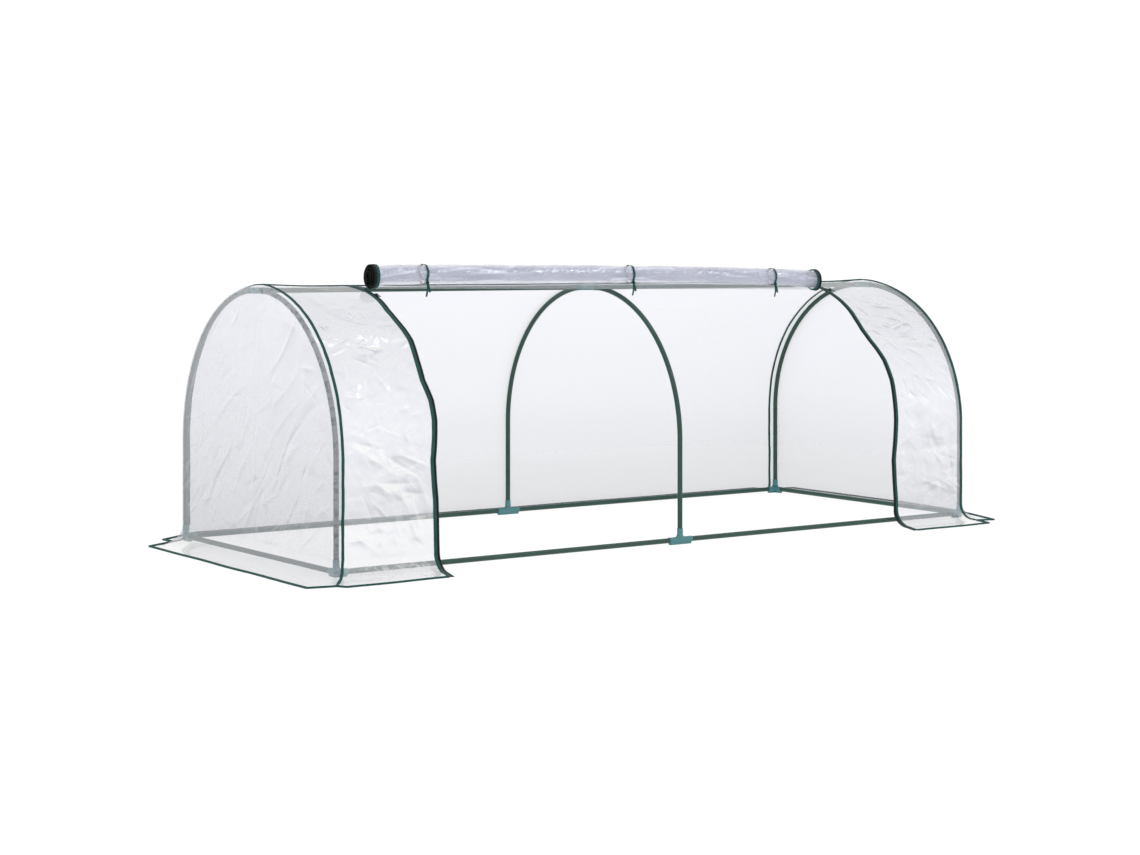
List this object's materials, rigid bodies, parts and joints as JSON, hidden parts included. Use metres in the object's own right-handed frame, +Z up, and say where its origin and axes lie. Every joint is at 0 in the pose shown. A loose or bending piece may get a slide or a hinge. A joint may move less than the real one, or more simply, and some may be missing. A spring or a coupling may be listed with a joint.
{
  "type": "tunnel greenhouse",
  "caption": "Low tunnel greenhouse: push-fit tube hoops and base frame under a clear film cover with ground skirts and a roll-up zipped door panel.",
  "frame": {"origin": "centre of the footprint, hem to hem, at ground level", "axes": "+X along the tunnel, -Y to the door side, +Z up"},
  "size_m": [2.7908, 1.2908, 0.8884],
  "materials": {
    "tube_steel": "glossy dark green powder coat",
    "connector_plastic": "satin teal moulded plastic",
    "film": "clear wrinkled film",
    "binding": "woven binding tape",
    "zip_tape": "woven zip tape with coil teeth",
    "tie_ribbon": "woven ribbon",
    "zip_metal": "worn nickel"
  },
  "bodies": {
    "root": {"hoop_left_front": "tube_steel", "hoop_left_rear": "tube_steel", "hoop_mid_front": "tube_steel", "hoop_mid_rear": "tube_steel", "hoop_right_front": "tube_steel", "hoop_right_rear": "tube_steel", "ridge_tube_left": "tube_steel", "ridge_tube_right": "tube_steel", "rail_front_left": "tube_steel", "rail_front_right": "tube_steel", "rail_rear_left": "tube_steel", "rail_rear_right": "tube_steel", "rail_end_left": "tube_steel", "rail_end_right": "tube_steel", "corner_front_left": "connector_plastic", "corner_front_right": "connector_plastic", "corner_rear_left": "connector_plastic", "corner_rear_right": "connector_plastic", "base_tee_front": "connector_plastic", "base_tee_rear": "connector_plastic", "ridge_tee_left": "connector_plastic", "ridge_cross_mid": "connector_plastic", "ridge_tee_right": "connector_plastic", "cover_rear": "film", "cover_front_left": "film", "cover_front_right": "film", "end_panel_left": "film", "end_panel_right": "film", "ridge_seam": "binding", "end_seam_left": "binding", "end_seam_right": "binding", "hem_rear": "binding", "hem_front_left": "binding", "hem_front_right": "binding", "hem_end_left": "binding", "hem_end_right": "binding", "door_edge_binding_left": "binding", "door_edge_binding_right": "binding", "zip_tape_left": "zip_tape", "zip_tape_right": "zip_tape"},
    "door_flap": {"door_flap": "film"},
    "door_roll": {"door_roll": "film", "door_zip_left": "zip_tape", "door_zip_right": "zip_tape", "tie_left": "tie_ribbon", "tie_mid": "tie_ribbon", "tie_right": "tie_ribbon"},
    "zip_slider_left": {"zip_slider_left": "zip_metal"},
    "zip_slider_right": {"zip_slider_right": "zip_metal"},
    "zip_pull_left": {"zip_pull_left": "zip_metal"},
    "zip_pull_right": {"zip_pull_right": "zip_metal"}
  },
  "joints": [
    {"name": "door_lower", "type": "hinge", "parent": "root", "child": "door_flap", "pos_m": [0, -0.012, 0.329], "axis": [1, 0, 0], "range_deg": [0, 74]},
    {"name": "door_unroll", "type": "slide", "parent": "door_flap", "child": "door_roll", "axis": [0, -0.9659, -0.2588], "range_m": [0, 0.24185]},
    {"name": "zip_left_run", "type": "hinge", "parent": "root", "child": "zip_slider_left", "pos_m": [0, -0.012, 0.329], "axis": [1, 0, 0], "range_deg": [0, 70]},
    {"name": "zip_right_run", "type": "hinge", "parent": "root", "child": "zip_slider_right", "pos_m": [0, -0.012, 0.329], "axis": [1, 0, 0], "range_deg": [0, 70]},
    {"name": "pull_left_flip", "type": "hinge", "parent": "zip_slider_left", "child": "zip_pull_left", "pos_m": [-0.9245, -0.17348, 0.79798], "axis": [-1, 0, 0], "range_deg": [0, 150]},
    {"name": "pull_right_flip", "type": "hinge", "parent": "zip_slider_right", "child": "zip_pull_right", "pos_m": [0.9245, -0.17348, 0.79798], "axis": [-1, 0, 0], "range_deg": [0, 150]}
  ],
  "couplings": [
    {"joint": "door_unroll", "follows": "door_lower", "m_per_rad": 0.1872}
  ]
}
